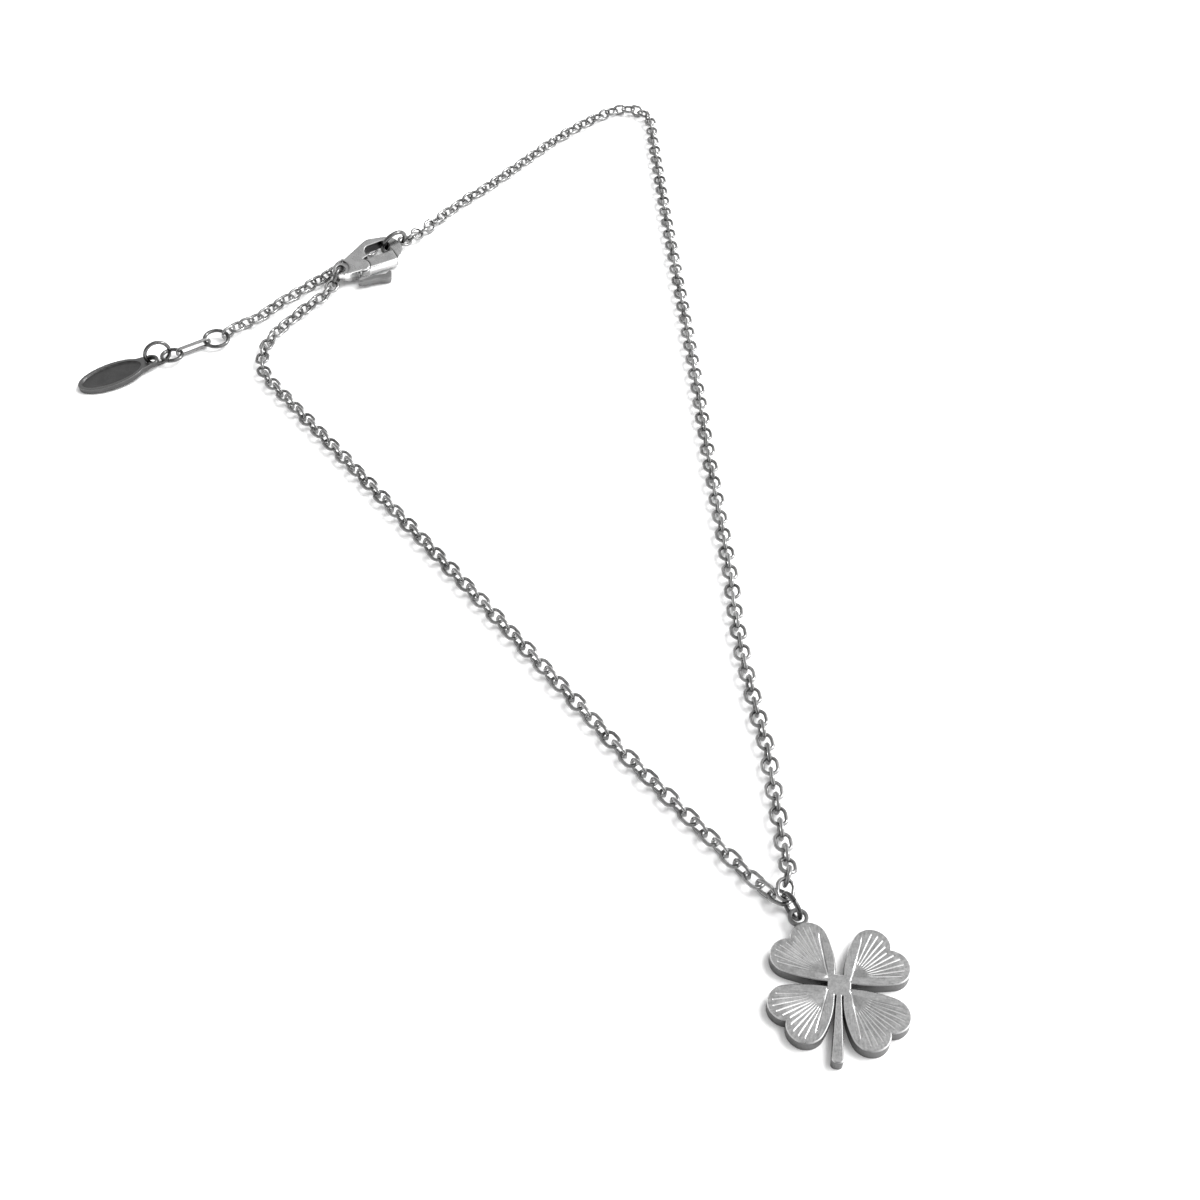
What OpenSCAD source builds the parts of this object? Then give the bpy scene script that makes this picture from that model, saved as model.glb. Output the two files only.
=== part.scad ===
// Fine necklace with a four leaf clover pendant, laid down in a loop as it is shown.
// Millimetres, +Z up, the surface that it lies on at z = 0, origin under the middle of its outline.

/* [Clover] */
// Angle between a leaf's axis and the clover's crosswise line
leaf_angle = 42; // [38:1:46]
// Distance from the hub to the middle between a leaf's two lobes
lobe_out = 5.95; // [5.7:0.05:6.4]
// Distance from a leaf's axis to the centre of each lobe
lobe_side = 1.55; // [1.45:0.05:1.75]
// Radius of a lobe
lobe_r = 2.1; // [1.95:0.05:2.3]
// Thickness of the plate
clover_t = 1.5; // [1.3:0.1:2]
// Width of the slots left and right, at the hub
side_slot = 0.56; // [0.4:0.02:0.7]
// Width of the gaps above and below, at the hub
long_slot = 0.92; // [0.85:0.01:1]
// Distance from the centre to where the slots begin
hub_r = 1.25; // [1.1:0.05:1.4]
// Bend of the leaf's edges beside the long gaps
long_bow = 10; // [8:0.5:14]
// Bend of the leaf's edges beside the side slots
side_bow = 16; // [14:0.5:24]
// Width of the flat border beside a leaf's dished part
border_w = 0.75; // [0.6:0.05:0.9]
// Radius of a leaf's dished part
dish_r = 5.2; // [4.8:0.1:5.3]
// Depth of the dished part at its point, by the hub
dish_depth = 0.45; // [0.3:0.05:0.6]
// Number of engraved rays in a leaf
rays = 11; // [7:1:13]
// Angle across a leaf's rays
ray_fan = 66; // [56:1:68]
// Width of an engraved ray
ray_w = 0.24; // [0.2:0.02:0.28]
// Distance between the rays' outer ends and the leaf's edge
ray_rim = 0.55; // [0.5:0.05:0.7]

/* [Stem] */
// Width of the stem at the hub
stem_top_w = 0.52; // [0.4:0.02:0.56]
// Width of the stem at its free end
stem_end_w = 1.26; // [0.9:0.02:1.3]
// Distance from the centre to the stem's free end
stem_l = 8.9; // [8:0.1:10]

/* [Eye and pendant ring] */
// Outer radius of the eye on the upper left leaf
eye_r = 1.15; // [1.05:0.05:1.3]
// Radius of the hole in the eye
eye_hole_r = 0.72; // [0.7:0.01:0.8]
// Thickness of the eye
eye_t = 0.5; // [0.4:0.02:0.54]
// Outer diameter of the pendant ring
pendant_ring_d = 3.6; // [3.4:0.1:3.8]
// Wire of the pendant ring
pendant_ring_wire = 0.6; // [0.5:0.02:0.62]

/* [Chain] */
// Length of a link over all
link_l = 3; // [2.95:0.01:3.15]
// Width of a link over all
link_w = 2.3; // [2.2:0.05:2.5]
// Thickness of a link's wire
wire = 0.5; // [0.42:0.02:0.52]

/* [Clasp] */
// Distance from the tail hole to the middle of the claw's rounded end
claw_x = 9.15; // [9:0.05:9.6]
// Radius of the claw's rounded end
claw_end_r = 2.6; // [2.5:0.05:2.7]
// Radius of the clasp's widest part
belly_r = 2.8; // [2.7:0.05:3]
// Radius of the narrow end
neck_r = 1.45; // [1.35:0.05:1.55]
// Radius of the hole in the claw
claw_hole_r = 1.25; // [1.15:0.05:1.3]
// Thickness of the clasp
clasp_t = 2; // [1.9:0.1:2.2]
// Radius of the tail eye
tail_r = 1.3; // [1.25:0.05:1.4]
// Radius of the tail hole
tail_hole_r = 0.75; // [0.7:0.05:0.8]
// Thickness of the tail eye
tail_t = 1.1; // [1:0.1:1.3]
// Tilt of the clasp, whose far side lies on the chain
clasp_tilt = 20; // [18:1:22]

/* [Lever] */
// Radius of the lever's pivot pin
pin_r = 0.4; // [0.35:0.01:0.45]
// Radius of the cheeks round the pivot
cheek_r = 1.2; // [1.1:0.05:1.3]
// Thickness of the lever between the cheeks
lever_t = 1.1; // [0.9:0.05:1.2]
// Distance from the pivot to the lever's tip
gate_l = 6.2; // [6:0.05:6.3]
// Thickness of the thumb piece
thumb_t = 1.3; // [1.1:0.1:1.5]
// Largest turn of the lever
lever_turn = 12; // [10:1:13]

/* [Rings] */
// Outer diameter of the ring in the claw
claw_ring_d = 5.3; // [5.1:0.1:5.5]
// Wire of the ring in the claw
claw_ring_wire = 0.7; // [0.6:0.02:0.74]
// Outer diameter of the ring in the clasp's tail
tail_ring_d = 3.6; // [3.4:0.1:3.8]
// Outer diameter of the first ring after the extender chain
first_ring_d = 4.4; // [4.2:0.1:4.6]
// Outer diameter of the second ring after the extender chain
second_ring_d = 3.8; // [3.6:0.1:4]
// Outer diameter of the ring in the tag
tag_ring_d = 4.5; // [4.3:0.1:4.7]
// Wire of the small rings
ring_wire = 0.6; // [0.5:0.02:0.62]

/* [Tag] */
// Length of the oval tag without its eye
tag_l = 10.8; // [10:0.1:12]
// Width of the tag
tag_w = 5.8; // [5:0.1:6.4]
// Thickness of the tag
tag_t = 0.8; // [0.7:0.05:0.9]
// Width of the tag's raised rim
tag_rim = 0.6; // [0.4:0.05:0.8]
// Depth of the field inside the rim
tag_field = 0.25; // [0.15:0.05:0.35]
// Radius of the tag's eye
tag_eye_r = 1.25; // [1.2:0.05:1.35]
// Radius of the hole in the tag's eye
tag_hole_r = 0.85; // [0.83:0.01:0.88]

/* [Hidden] */
$fn = 48;
eps = 0.01;

// Clearances
link_gap = 0.15;     // between the wires of two linked links, along the chain
hook_gap = 0.12;     // between a ring's wire and the end link that hangs on it
lay_gap = 0.1;       // between pieces that lie on each other
pin_gap = 0.05;      // round the lever's pin
lever_gap = 0.12;    // between the lever and the clasp

// Middle of the whole outline, which is brought over the origin
laid_middle = [0, 0.5];

// Where the clover's hub lies, and how far the clover is turned
clover_at = [49.6, -91.9];
clover_turn = -7.65;
// Direction from the pendant ring's hold in the eye towards the chain, and its lean
pendant_ring_turn = 120;
pendant_ring_lean = 2;
// How far from the eye's middle the pendant ring passes through it
pendant_ring_back = 0.16;

// Where the clasp's tail hole lies, and the direction of its claw
clasp_at = [-19.8, 41.5];
clasp_turn = 35;
// Direction of the tail ring, and of the claw ring, from the clasp's own axis
tail_ring_turn = 218;
claw_ring_turn = 6;
// Direction in which the claw ring's wire lies in the claw's hole
claw_ring_side = 55;
// Place of the lever's pivot, from the tail hole
pivot = [3.6, -1];

// Routes of the chain's three runs over the surface, between the rings that hold them; a third number
// gives the height where a run doesn't lie
left_route = [[43, -80.3], [41.2, -78.4], [26.4, -59.9], [20.6, -51.8], [8.7, -35.6], [-9.4, -11.3],
              [-27.3, 12.5], [-28.9, 15.1], [-29.6, 18], [-29.7, 21], [-29.1, 24],
              [-27.9, 26.7], [-26.3, 29.5], [-24.7, 32.3], [-23.3, 34.4], [-21.8, 36.2]];
right_route = [[45, -79.6, 2.6], [45.4, -77.8, 2], [45.4, -76, 1.4], [45.2, -73], [44.5, -60],
               [43.4, -52], [42.6, -45.5], [42.1, -38],
               [41.9, -30], [40.2, -5], [39.4, 10], [38.3, 28], [37.1, 45], [35.9, 63],
               [34.3, 90], [34.2, 95], [33.5, 98], [31.9, 100], [29.6, 100.9], [27, 100.2],
               [23.8, 97.6], [19.5, 93.2], [14.8, 87.4], [7, 76], [3.2, 70.6], [-0.2, 66.6],
               [-3.8, 61.4], [-6.8, 56.6]];
extender_route = [[-12.7, 52], [-14.6, 51.3], [-16.6, 49.4], [-18.6, 47.1], [-20.6, 44.5], [-22.4, 41.9],
                  [-24.8, 39.2], [-26.8, 36.6], [-29.3, 33.8], [-31, 30.9], [-32.9, 28.8],
                  [-34.7, 27.6]];
// Where the first ring and the tag's eye lie, and the directions of the tag, its ring and the second ring
first_ring_at = [-37.9, 23.9];
tag_at = [-47.2, 17.9];
tag_turn = 212;
tag_ring_turn = 28;
second_turn = 20;

// Derived sizes
link_half = link_l / 2 - wire;                 // half of a link's inner length
pitch_max = 2 * link_half - link_gap;
chain_z = link_w / 2;                          // height of the chain's middle line
hub_tilt = [cos(leaf_angle), sin(leaf_angle)];
lobe_low = lobe_out * hub_tilt + lobe_side * [hub_tilt.y, -hub_tilt.x];
lobe_high = lobe_out * hub_tilt - lobe_side * [hub_tilt.y, -hub_tilt.x];

// Plane geometry
function turned(v, a) = [v.x * cos(a) - v.y * sin(a), v.x * sin(a) + v.y * cos(a)];
function crossed(a, b) = a.x * b.y - a.y * b.x;
function angle_of(v) = atan2(v.y, v.x);
function unit(v) = v / norm(v);
function mixed(a, b, t) = a * (1 - t) + b * t;
function toward(a) = [cos(a), sin(a)];
function arc_points(c, r, a0, a1, n) = [for (k = [0:n]) c + r * toward(a0 + (a1 - a0) * k / n)];
// Middle of a large circle, of radius big, that passes through p and touches the circle c, r from outside it
function bow_middle(p, c, r, big, side) =
    let (d = norm(c - p), a = (d * d + big * big - (big - r) * (big - r)) / (2 * d), u = (c - p) / d)
    p + a * u + side * sqrt(big * big - a * a) * [u.y, -u.x];
// Point where the line from a along u meets the line from b along v
function meeting(a, u, b, v) = a + u * crossed(b - a, v) / crossed(u, v);

// A ring's record: centre, its two axes, outer diameter and wire
function ring_radius(ring) = (ring[3] - ring[4]) / 2;
function on_ring(ring, a) = ring[0] + ring_radius(ring) * (cos(a) * ring[1] + sin(a) * ring[2]);
function ring_way(ring, a) = cos(a) * ring[2] - sin(a) * ring[1];

// A ring of round wire
module wire_ring(ring) {
    a = ring[1];
    b = ring[2];
    c = cross(a, b);
    translate(ring[0])
        multmatrix([[a.x, b.x, c.x, 0], [a.y, b.y, c.y, 0], [a.z, b.z, c.z, 0]])
            rotate_extrude() translate([ring_radius(ring), 0]) circle(d = ring[4]);
}

// A link: two half rings joined by two straight wires, long along X, flat in the XY plane
module link(l, w) {
    r = (w - wire) / 2;
    half_straight = (l - w) / 2;
    for (side = [0, 180]) rotate([0, 0, side]) {
        translate([half_straight, 0, 0]) rotate([0, 0, -90])
            rotate_extrude(angle = 180, $fn = 16) translate([r, 0]) circle(d = wire, $fn = 16);
        translate([-half_straight, r, 0]) rotate([0, 90, 0])
            cylinder(d = wire, h = 2 * half_straight, $fn = 16);
    }
}

// Turns X to point along v in space, rolled about it
module aim(v, roll) {
    rotate([0, -atan2(v.z, norm([v.x, v.y])), atan2(v.y, v.x)]) rotate([roll, 0, 0]) children();
}

// Roll at which a link along v holds a wire that runs along t
function roll_for(v, t) =
    let (az = atan2(v.y, v.x), el = atan2(v.z, norm([v.x, v.y])))
    atan2(t.x * sin(az) - t.y * cos(az), t.z * cos(el) - (t.x * cos(az) + t.y * sin(az)) * sin(el));
// The smallest turn that is the same as a, for a link that looks alike from both faces
function least_roll(a) = a - 180 * round(a / 180);

// Lengths along a path at its points, and the point at a length along it
function step_length(path, i) = i + 1 < len(path) ? norm(path[i + 1] - path[i]) : 0;
function runs(path) = [for (i = 0, s = 0; i < len(path); s = s + step_length(path, i), i = i + 1) s];
function piece_at(s, marks, i) =
    i + 2 >= len(marks) || marks[i + 1] >= s ? i : piece_at(s, marks, i + 1);
function point_at(path, marks, s) =
    let (i = piece_at(s, marks, 0))
    mixed(path[i], path[i + 1], (s - marks[i]) / (marks[i + 1] - marks[i]));

// A path that starts and ends at wires which the end links hold, drawn out to the links' own joints
function hooked(path, wire_a, wire_b) =
    let (n = len(path), ends = link_half - pitch_max / 2 - hook_gap)
    concat([path[0] + unit(path[0] - path[1]) * (wire_a / 2 - ends)],
           [for (i = [1:n - 2]) path[i]],
           [path[n - 1] + unit(path[n - 1] - path[n - 2]) * (wire_b / 2 - ends)]);

// Links along a path, turned a quarter from one to the next, with the ends rolled to suit the wires they hold
module chain(path, first_way, last_way) {
    marks = runs(path);
    total = marks[len(marks) - 1];
    n = ceil(total / pitch_max);
    joints = [for (i = [0:n]) point_at(path, marks, total * i / n)];
    first_roll = least_roll(roll_for(joints[1] - joints[0], first_way));
    last_roll = least_roll(roll_for(joints[n] - joints[n - 1], last_way) - 90 * ((n - 1) % 2));
    settle = 7;
    for (i = [0:n - 1]) {
        from_first = max(0, 1 - i / settle) * first_roll;
        from_last = max(0, 1 - (n - 1 - i) / settle) * last_roll;
        lean = 7 * sin(i * 67) * min(1, i / settle, (n - 1 - i) / settle);
        translate((joints[i] + joints[i + 1]) / 2)
            aim(joints[i + 1] - joints[i], 90 * (i % 2) + from_first + from_last + lean) link(link_l, link_w);
    }
}

// The clasp's own frame: X along it from the tail hole, Y to its far side, tilted and lifted
thumb_low = -5.2;
clasp_z = -thumb_low * sin(clasp_tilt) + thumb_t / 2 * cos(clasp_tilt) + lay_gap / 2;
module in_clasp() {
    translate([each clasp_at, clasp_z]) rotate([0, 0, clasp_turn]) rotate([clasp_tilt, 0, 0]) children();
}
function from_clasp(p) =
    let (y = p.y * cos(clasp_tilt) - p.z * sin(clasp_tilt),
         z = p.y * sin(clasp_tilt) + p.z * cos(clasp_tilt),
         q = turned([p.x, y], clasp_turn))
    [clasp_at.x + q.x, clasp_at.y + q.y, clasp_z + z];

// Centres of the rings that stand square to the clasp's plate, in the clasp's frame
claw_at = [claw_x, 0.35];
belly_at = [claw_x - 2.15, 0.65];
hole_at = [claw_x - 0.55, 1];
function clasp_way(v) = from_clasp(v) - from_clasp([0, 0, 0]);
claw_ring_play = 0.28;       // between the claw ring's wire and the side of the claw's hole
claw_ring_from = hole_at + (claw_hole_r - claw_ring_wire / 2 - claw_ring_play) * toward(claw_ring_side);
claw_ring_to = [each toward(claw_ring_turn), 0];
claw_ring_c = [each claw_ring_from, 0] + (claw_ring_d - claw_ring_wire) / 2 * claw_ring_to;
claw_ring = [from_clasp(claw_ring_c), clasp_way(claw_ring_to), clasp_way([0, 0, 1]),
             claw_ring_d, claw_ring_wire];
tail_ring_to = [each toward(tail_ring_turn), 0];
tail_ring = [from_clasp((tail_ring_d - ring_wire) / 2 * tail_ring_to),
             clasp_way(tail_ring_to), clasp_way([0, 0, 1]), tail_ring_d, ring_wire];

// The pendant ring: its centre follows from the eye, its own size and its lean, with its wire on the surface
eye_dir = 115.7;
eye_wall = 0.1;              // least wall between the eye's hole and the lobe
eye_c = [-lobe_high.x, lobe_high.y] + (lobe_r + eye_hole_r + eye_wall) * toward(eye_dir);
eye_at = clover_at + turned(eye_c, clover_turn);
pendant_r = (pendant_ring_d - pendant_ring_wire) / 2;
ring_a = [each toward(pendant_ring_turn), 0];
ring_b = [each -sin(pendant_ring_lean) * [ring_a.y, -ring_a.x], cos(pendant_ring_lean)];
pendant_z = pendant_r * ring_b.z + pendant_ring_wire / 2;
pendant_rise = (pendant_z - clover_t + eye_t / 2) / ring_b.z;
pendant_out = sqrt(pendant_r * pendant_r - pendant_rise * pendant_rise) - pendant_ring_back;
pendant_c = [each eye_at, clover_t - eye_t / 2] + ring_a * pendant_out + ring_b * pendant_rise;
pendant_ring_at = [pendant_c, ring_a, ring_b, pendant_ring_d, pendant_ring_wire];

// The last rings: the tag's ring stands in the tag's eye, the second hangs in it, and a long link joins that
// to the first
tag_ring_r = (tag_ring_d - ring_wire) / 2;
tag_way = [each toward(tag_ring_turn), 0];
tag_lift = ring_wire + lay_gap;
tag_slope = asin(tag_lift / (tag_l + 2 * tag_eye_r));
tag_mid_z = tag_lift + tag_t / 2;
tag_reach = sqrt(pow(tag_ring_r, 2) - pow(tag_ring_d / 2 - tag_mid_z, 2)) - 3 * lay_gap;
tag_ring_c = [each tag_at, tag_ring_d / 2] + tag_reach * tag_way;
tag_ring_at = [tag_ring_c, tag_way, [0, 0, 1], tag_ring_d, ring_wire];
second_r = (second_ring_d - ring_wire) / 2;
hang_reach = sqrt(pow(tag_ring_r, 2) - pow(tag_ring_d / 2 - chain_z, 2));
second_c = [each tag_at, chain_z] + (tag_reach + hang_reach) * tag_way
    + (second_r - ring_wire - 4 * hook_gap) * [each toward(second_turn), 0];
first_c = [each first_ring_at, chain_z];
last_way = unit(second_c - first_c);
function leant(way, lean) = [-way.y * cos(lean), way.x * cos(lean), sin(lean)];
second_ring = [second_c, last_way, leant(last_way, 3), second_ring_d, ring_wire];
first_ring = [first_c, last_way, leant(last_way, -8), first_ring_d, ring_wire];

// The leaf's outline: its lobes, and straight edges from them to the slots' inner ends
slot_low = [hub_r, side_slot / 2];
slot_high = [long_slot / 2, hub_r];
low_mid = bow_middle(slot_low, lobe_low, lobe_r, side_bow, -1);
high_mid = bow_middle(slot_high, lobe_high, lobe_r, long_bow, 1);
low_touch = angle_of(lobe_low - low_mid);
high_touch = (angle_of(lobe_high - high_mid) + 360) % 360;
half_notch = asin(lobe_side / lobe_r);
leaf_points = concat(
    [[0, 0], [hub_r, 0]],
    arc_points(low_mid, side_bow, angle_of(slot_low - low_mid), low_touch, 6),
    arc_points(lobe_low, lobe_r, low_touch, leaf_angle + half_notch, 20),
    arc_points(lobe_high, lobe_r, leaf_angle - half_notch, high_touch, 20),
    arc_points(high_mid, long_bow, high_touch, (angle_of(slot_high - high_mid) + 360) % 360, 6),
    [[0, hub_r]]);
low_edge = unit(lobe_low + lobe_r * [cos(low_touch), sin(low_touch)] - slot_low);
high_edge = unit(lobe_high + lobe_r * [cos(high_touch), sin(high_touch)] - slot_high);
// Point of the dished part, where the borders' inner edges meet
dish_point = meeting(slot_low + border_w * [-low_edge.y, low_edge.x], low_edge,
                     slot_high + border_w * [high_edge.y, -high_edge.x], high_edge);

// How far a ray may run from the dish's point in direction a before it comes near the leaf's edge
notch_reach = lobe_out + sqrt(lobe_r * lobe_r - lobe_side * lobe_side) - norm(dish_point);
function ray_reach(a) =
    let (d = toward(a), c = a < leaf_angle ? lobe_low : lobe_high, v = c - dish_point,
         across = abs(crossed(v, d)), r = lobe_r - ray_rim)
    across > r ? notch_reach - ray_rim : v * d + sqrt(r * r - across * across);

module leaf_cuts() {
    ray_start = 1.25;
    slope = atan(dish_depth / dish_r);
    translate([dish_point.x, dish_point.y, clover_t - dish_depth]) {
        intersection() {
            cylinder(r1 = 0, r2 = dish_r * 1.01, h = dish_depth * 1.01);
            linear_extrude(2 * dish_depth)
                polygon([[0, 0], 8 * low_edge, 8 * (low_edge + high_edge), 8 * high_edge]);
        }
        for (k = [0:rays - 1]) {
            turn = leaf_angle - ray_fan / 2 + ray_fan * k / (rays - 1);
            rotate([0, -slope, turn]) translate([ray_start, 0, 0]) rotate([45, 0, 0])
                translate([0, -ray_w / 2 / sqrt(2), -ray_w / 2 / sqrt(2)])
                    cube([ray_reach(turn) - ray_start, ray_w / sqrt(2), ray_w / sqrt(2)]);
        }
    }
}

module clover_plate() {
    difference() {
        linear_extrude(clover_t) {
            for (x = [0, 1], y = [0, 1]) mirror([x, 0]) mirror([0, y]) polygon(leaf_points);
            polygon([[-stem_top_w / 2, -hub_r / 2], [stem_top_w / 2, -hub_r / 2],
                     [stem_end_w / 2, -stem_l + 0.3], [stem_end_w / 2 - 0.3, -stem_l],
                     [0.3 - stem_end_w / 2, -stem_l], [-stem_end_w / 2, -stem_l + 0.3]]);
        }
        for (x = [0, 1], y = [0, 1]) mirror([x, 0, 0]) mirror([0, y, 0]) leaf_cuts();
    }
}

module clover_eye() {
    translate([eye_c.x, eye_c.y, clover_t - eye_t]) difference() {
        union() {
            cylinder(r = eye_r, h = eye_t);
            rotate([0, 0, eye_dir + 180]) translate([0, -eye_r, 0])
                cube([eye_hole_r + eye_wall + lobe_r * 0.3, eye_r * 2, eye_t]);
        }
        translate([0, 0, -eps]) cylinder(r = eye_hole_r, h = eye_t + 2 * eps);
    }
}

module clover() {
    color("silver") laid() translate(clover_at) rotate([0, 0, clover_turn]) {
        clover_plate();
        clover_eye();
    }
}

module pendant_ring() {
    color("dimgray") laid() wire_ring(pendant_ring_at);
}

module laid() {
    translate([-laid_middle.x, -laid_middle.y, 0]) children();
}

function lifted(route) = [for (p = route) [p.x, p.y, is_undef(p.z) ? chain_z : p.z]];

// Where each run's end links hold their rings
left_start = -20;
left_end = -8;
right_start = 20;
right_end = -25;
extender_start = -60;
extender_end = 190;

function between(ring_1, a1, route, ring_2, a2) =
    hooked([on_ring(ring_1, a1), each lifted(route), on_ring(ring_2, a2)], ring_1[4], ring_2[4]);
left_path = between(pendant_ring_at, left_start, left_route, tail_ring, left_end);
right_path = between(pendant_ring_at, right_start, right_route, claw_ring, right_end);
extender_path = between(claw_ring, extender_start, extender_route, first_ring, extender_end);

module chain_left() {
    color("gray") laid()
        chain(left_path, ring_way(pendant_ring_at, left_start), ring_way(tail_ring, left_end));
}

module chain_right() {
    color("gray") laid()
        chain(right_path, ring_way(pendant_ring_at, right_start), ring_way(claw_ring, right_end));
}

module chain_extender() {
    color("gray") laid()
        chain(extender_path, ring_way(claw_ring, extender_start), ring_way(first_ring, extender_end));
}

// Plan of the clasp's teardrop: two circles, and their common tangents a hair inside them
module teardrop(c1, r1, c2, r2) {
    d = norm(c2 - c1);
    a = angle_of(c2 - c1);
    b = asin((r2 - r1) / d);
    translate(c1) rotate(a) {
        circle(r1);
        translate([d, 0]) circle(r2);
        polygon([for (p = [[0, r1 - eps, 1], [0, r1 - eps, -1], [d, r2 - eps, -1], [d, r2 - eps, 1]])
            [p.x - p.y * sin(b), p.z * p.y * cos(b)]]);
    }
}

neck_at = [1, -0.45];
gate_h = 0.8;            // height of the gate's inner edge above the pivot

module clasp_outline() {
    teardrop(neck_at, neck_r, belly_at, belly_r);
    teardrop(claw_at, claw_end_r, belly_at, belly_r);
}

module claw_hole() {
    teardrop([hole_at.x - 2.2, hole_at.y], claw_hole_r - 0.05, hole_at, claw_hole_r);
}

// All that lies below the gate's inner edge, with the gate turned by a
module below_gate(a, h) {
    polygon([pivot, pivot + turned([0, h], a), pivot + turned([9, h], a), [pivot.x + 9, -6], [pivot.x, -6]]);
}

module clasp_body() {
    slot_t = lever_t + 2 * lever_gap;
    color("darkgray") laid() in_clasp() {
        difference() {
            union() {
                translate([0, 0, -clasp_t / 2]) linear_extrude(clasp_t) difference() {
                    clasp_outline();
                    claw_hole();
                    difference() {
                        intersection() {
                            below_gate(lever_turn + 1, gate_h + lever_gap);
                            translate(pivot) circle(gate_l + lever_gap);
                        }
                        translate(pivot) circle(cheek_r);
                    }
                }
                translate([pivot.x, pivot.y, -clasp_t / 2]) cylinder(r = cheek_r, h = clasp_t);
                translate([0, 0, -tail_t / 2]) cylinder(r = tail_r, h = tail_t);
            }
            translate([0, 0, -tail_t]) cylinder(r = tail_hole_r, h = 2 * tail_t);
            translate([0, 0, tail_t / 2]) cylinder(r = tail_r + 0.1, h = clasp_t);
            translate([0, 0, -tail_t / 2 - clasp_t]) cylinder(r = tail_r + 0.1, h = clasp_t);
            translate([pivot.x, pivot.y, -slot_t / 2]) cylinder(r = cheek_r + lever_gap, h = slot_t);
        }
        translate([pivot.x, pivot.y, -slot_t / 2 - eps]) cylinder(r = pin_r, h = slot_t + 2 * eps);
    }
}

module gate_plan() {
    intersection() {
        clasp_outline();
        below_gate(0, gate_h);
        translate(pivot) circle(gate_l);
    }
}

module clasp_lever() {
    thumb_in = -3.1;
    color("darkgray") laid() in_clasp() difference() {
        union() {
            translate([0, 0, -clasp_t / 2]) linear_extrude(clasp_t) difference() {
                gate_plan();
                claw_hole();
                translate(pivot) circle(cheek_r + lever_gap);
            }
            translate([0, 0, -lever_t / 2]) linear_extrude(lever_t) {
                translate(pivot) circle(cheek_r);
                difference() {
                    gate_plan();
                    claw_hole();
                }
                polygon([pivot + [-0.6, -0.6], pivot + [0.9, -0.6], [pivot.x + 0.4, thumb_in - 0.4],
                         [pivot.x - 1.7, thumb_in - 0.3], [pivot.x - 0.6, -2.3]]);
            }
            translate([0, 0, -thumb_t / 2]) linear_extrude(thumb_t)
                polygon([[1.7, thumb_in - 0.1], [2.3, thumb_in + 0.1], [5, thumb_in - 0.6],
                         [6.4, thumb_in - 0.9], [7.4, thumb_in - 0.5], [7.5, thumb_in - 1],
                         [6.9, thumb_low], [6.2, thumb_low + 0.1], [5, thumb_in - 1.5],
                         [1.9, thumb_in - 0.9], [1.5, thumb_in - 0.5]]);
        }
        translate([pivot.x, pivot.y, -clasp_t]) cylinder(r = pin_r + pin_gap, h = 2 * clasp_t);
    }
}

module clasp_tail_ring() {
    color("dimgray") laid() wire_ring(tail_ring);
}

module clasp_claw_ring() {
    color("dimgray") laid() wire_ring(claw_ring);
}

module extender_ring_first() {
    color("dimgray") laid() wire_ring(first_ring);
}

// A longer link between the first ring and the second
module extender_link() {
    from = on_ring(first_ring, 0);
    to = on_ring(second_ring, 180);
    color("gray") laid() translate((from + to) / 2)
        aim(to - from, roll_for(to - from, ring_way(first_ring, 0)))
        link(norm(to - from) + ring_wire + 2 * hook_gap + 2 * wire, ring_wire + 2 * wire + 2 * hook_gap);
}

module extender_ring_second() {
    color("dimgray") laid() wire_ring(second_ring);
}

module tag_ring() {
    color("dimgray") laid() wire_ring(tag_ring_at);
}

// The tag: an oval plate with a raised rim, a bare field and an eye
module tag() {
    oval = [for (k = [0:47]) toward(k * 7.5)];
    middle = tag_eye_r * 0.8 + tag_l / 2;
    color("dimgray") laid() translate([tag_at.x, tag_at.y, tag_lift]) rotate([0, 0, tag_turn])
        rotate([0, tag_slope, 0]) difference() {
        union() {
            translate([middle, 0, 0]) linear_extrude(tag_t)
                polygon([for (p = oval) [p.x * tag_l / 2, p.y * tag_w / 2]]);
            cylinder(r = tag_eye_r, h = tag_t);
            linear_extrude(tag_t) polygon([[0.2, -tag_eye_r], [3.4, -1.9], [3.4, 1.9], [0.2, tag_eye_r]]);
        }
        translate([middle, 0, tag_t - tag_field]) linear_extrude(tag_t)
            polygon([for (p = oval) [p.x * (tag_l / 2 - tag_rim), p.y * (tag_w / 2 - tag_rim)]]);
        translate([0, 0, -eps]) cylinder(r = tag_hole_r, h = tag_t + 2 * eps);
    }
}

clover();
pendant_ring();
chain_left();
chain_right();
clasp_body();
clasp_lever();
clasp_tail_ring();
clasp_claw_ring();
chain_extender();
extender_ring_first();
extender_link();
extender_ring_second();
tag_ring();
tag();
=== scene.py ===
"""A fine necklace with a four leaf clover, laid in a loop on a pale surface: the finish of every piece."""
import math

import bmesh
import bpy
import numpy as np
from mathutils import Matrix, Vector
from mathutils.geometry import delaunay_2d_cdt


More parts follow.
